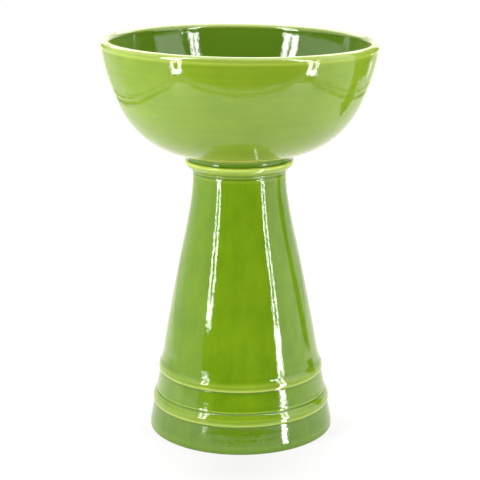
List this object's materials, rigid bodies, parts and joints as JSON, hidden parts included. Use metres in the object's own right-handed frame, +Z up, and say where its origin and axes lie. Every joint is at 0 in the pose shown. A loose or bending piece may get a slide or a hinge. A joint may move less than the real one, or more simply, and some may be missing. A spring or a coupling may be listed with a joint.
{
  "type": "pedestal drinking fountain",
  "caption": "Glazed ceramic pedestal drinking fountain: a round basin on a tapering pedestal, with a push-button bubbler, strainer, waste and supply fittings inside.",
  "frame": {"origin": "centre of the pedestal's foot, on the floor", "axes": "+Z up; the user stands on the -Y side, where the push button is; the waste pipe is on the +Y side"},
  "size_m": [0.42, 0.42, 0.608],
  "materials": {
    "green_glaze": "thick glossy lime-green glaze, lighter where it breaks over edges, with a slight orange-peel surface",
    "chrome": "polished chrome plate on brass",
    "brass": "plain machined brass",
    "steel": "brushed stainless steel",
    "rubber": "matt black rubber"
  },
  "bodies": {
    "fountain": {"pedestal": "green_glaze", "basin": "green_glaze", "basin_bedding_ring": "rubber", "flange_gasket": "rubber", "waste_body": "chrome", "strainer_plate": "chrome", "clamp_washer": "rubber", "clamp_plate": "steel", "waste_locknut": "brass", "tee_washer": "rubber", "waste_tee": "brass", "tee_coupling_nut": "brass", "slip_washer": "rubber", "slip_nut": "brass", "waste_pipe": "chrome", "gland_packing": "rubber", "gland_nut": "brass", "supply_riser": "chrome", "inlet_fitting": "brass", "ferrule": "brass", "compression_nut": "brass", "bubbler_base_washer": "rubber", "bubbler_body": "chrome", "bubbler_locknut": "brass", "mouth_guard": "chrome", "nozzle": "chrome", "bonnet": "chrome", "stem_guide": "brass", "valve_spring": "steel", "rear_plug": "chrome"},
    "button": {"push_button": "chrome", "valve_stem": "steel", "valve_disc": "rubber"},
    "regulator": {"regulator_screw": "steel"}
  },
  "joints": [
    {"name": "button_press", "type": "slide", "parent": "fountain", "child": "button", "axis": [0, 1, 0], "range_m": [0, 0.004], "stiffness_N_per_m": 1200, "springref_m": -0.005, "deforming": ["valve_spring"]},
    {"name": "regulator_turn", "type": "hinge", "parent": "fountain", "child": "regulator", "pos_m": [0.012, 0, 0.4628], "axis": [1, 0, 0], "range_deg": [0, 270]}
  ]
}
